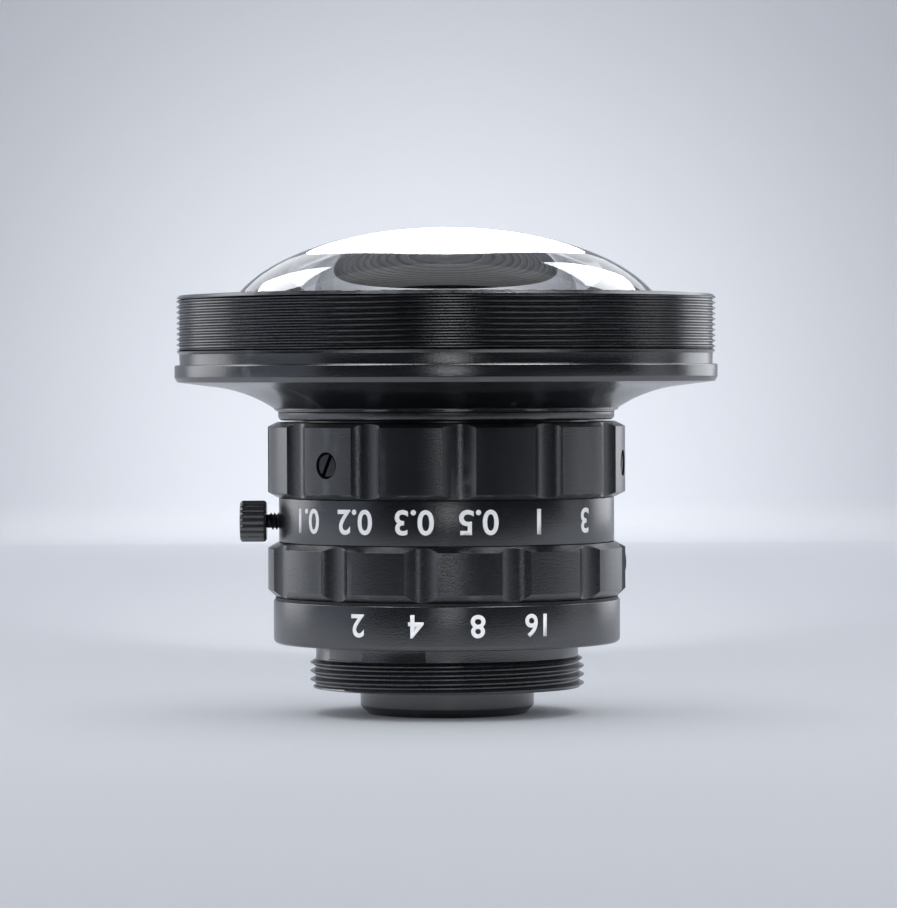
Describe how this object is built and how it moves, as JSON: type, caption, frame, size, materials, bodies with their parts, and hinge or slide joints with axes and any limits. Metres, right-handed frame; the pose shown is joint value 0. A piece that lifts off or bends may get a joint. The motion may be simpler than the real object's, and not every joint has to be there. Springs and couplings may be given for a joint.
{
  "type": "prime lens",
  "caption": "Fixed focal length lens for a machine camera: threaded rear mount, fluted iris and focus rings, lock screw, and a wide threaded bell round a domed front glass.",
  "frame": {"origin": "on the optical axis, at the underside of the rear stub", "axes": "+Z along the optical axis towards the front glass; the lock screw points to -X"},
  "size_m": [0.0504, 0.0504, 0.045],
  "materials": {
    "black_anodised": "satin black anodised",
    "matt_black": "matt black",
    "brass": "turned",
    "black_steel": "blackened",
    "bright_steel": "ground",
    "black_washer": "matt",
    "seal_rubber": "matt",
    "front_glass": "polished and coated",
    "inner_glass": "polished and coated",
    "blade_black": "matt black"
  },
  "bodies": {
    "barrel": {"rear_mount": "black_anodised", "main_barrel": "black_anodised", "focus_snap_ring": "bright_steel", "guide_pin": "bright_steel", "iris_washer": "black_washer"},
    "focus_ring": {"focus_grip_ring": "black_anodised", "focus_nut": "brass", "focus_set_screws": "black_steel"},
    "iris_ring": {"iris_grip_ring": "black_anodised", "iris_drive_screw": "black_steel"},
    "lens_cell": {"cell_barrel": "black_anodised", "front_bell": "black_anodised", "front_element": "front_glass", "front_retaining_ring": "black_anodised", "front_seal": "seal_rubber", "front_baffle": "matt_black", "second_element": "inner_glass", "third_element": "inner_glass", "fourth_element": "inner_glass", "front_spacer": "black_anodised", "cell_retaining_ring": "black_anodised", "iris_housing": "matt_black", "iris_cover": "matt_black", "rear_cell": "black_anodised", "rear_element": "inner_glass", "rear_spacer": "black_anodised", "rear_doublet_flint": "inner_glass", "rear_doublet_crown": "inner_glass", "rear_retaining_ring": "black_anodised"},
    "iris_cam": {"iris_cam": "matt_black"},
    "lock_pad": {"lock_pad": "brass"},
    "lock_screw": {"lock_screw": "black_steel"},
    "iris_blade_1": {"iris_blade_1": "blade_black"},
    "iris_blade_2": {"iris_blade_2": "blade_black"},
    "iris_blade_3": {"iris_blade_3": "blade_black"},
    "iris_blade_4": {"iris_blade_4": "blade_black"},
    "iris_blade_5": {"iris_blade_5": "blade_black"},
    "iris_blade_6": {"iris_blade_6": "blade_black"}
  },
  "joints": [
    {"name": "focus_turn", "type": "hinge", "parent": "barrel", "child": "focus_ring", "pos_m": [0, 0, 0.0235], "axis": [0, 0, 1], "range_deg": [-108, 0]},
    {"name": "cell_slide", "type": "slide", "parent": "barrel", "child": "lens_cell", "axis": [0, 0, 1], "range_m": [0, 0.00015]},
    {"name": "iris_turn", "type": "hinge", "parent": "barrel", "child": "iris_ring", "pos_m": [0, 0, 0.0134], "axis": [0, 0, 1], "range_deg": [0, 60]},
    {"name": "iris_cam_turn", "type": "hinge", "parent": "lens_cell", "child": "iris_cam", "pos_m": [0, 0, 0.0138], "axis": [0, 0, 1], "range_deg": [0, 60]},
    {"name": "lock_travel", "type": "slide", "parent": "barrel", "child": "lock_pad", "axis": [-1, 0, 0], "range_m": [0, 0.00105]},
    {"name": "lock_turn", "type": "hinge", "parent": "lock_pad", "child": "lock_screw", "pos_m": [-0.018, 0, 0.01784], "axis": [-1, 0, 0], "range_deg": [0, 1080]},
    {"name": "blade_1_swing", "type": "hinge", "parent": "lens_cell", "child": "iris_blade_1", "pos_m": [0.0066, 0, 0.015], "axis": [0, 0, 1], "range_deg": [0, 20.5]},
    {"name": "blade_2_swing", "type": "hinge", "parent": "lens_cell", "child": "iris_blade_2", "pos_m": [0.0033, 0.00572, 0.015], "axis": [0, 0, 1], "range_deg": [0, 20.5]},
    {"name": "blade_3_swing", "type": "hinge", "parent": "lens_cell", "child": "iris_blade_3", "pos_m": [-0.0033, 0.00572, 0.015], "axis": [0, 0, 1], "range_deg": [0, 20.5]},
    {"name": "blade_4_swing", "type": "hinge", "parent": "lens_cell", "child": "iris_blade_4", "pos_m": [-0.0066, 0, 0.015], "axis": [0, 0, 1], "range_deg": [0, 20.5]},
    {"name": "blade_5_swing", "type": "hinge", "parent": "lens_cell", "child": "iris_blade_5", "pos_m": [-0.0033, -0.00572, 0.015], "axis": [0, 0, 1], "range_deg": [0, 20.5]},
    {"name": "blade_6_swing", "type": "hinge", "parent": "lens_cell", "child": "iris_blade_6", "pos_m": [0.0033, -0.00572, 0.015], "axis": [0, 0, 1], "range_deg": [0, 20.5]}
  ],
  "couplings": [
    {"joint": "focus_turn", "follows": "cell_slide", "rad_per_m": -12566},
    {"joint": "iris_cam_turn", "follows": "iris_turn", "ratio": 1},
    {"joint": "lock_turn", "follows": "lock_travel", "rad_per_m": 17952},
    {"joint": "blade_1_swing", "follows": "iris_turn", "ratio": 0.34167},
    {"joint": "blade_2_swing", "follows": "iris_turn", "ratio": 0.34167},
    {"joint": "blade_3_swing", "follows": "iris_turn", "ratio": 0.34167},
    {"joint": "blade_4_swing", "follows": "iris_turn", "ratio": 0.34167},
    {"joint": "blade_5_swing", "follows": "iris_turn", "ratio": 0.34167},
    {"joint": "blade_6_swing", "follows": "iris_turn", "ratio": 0.34167}
  ]
}
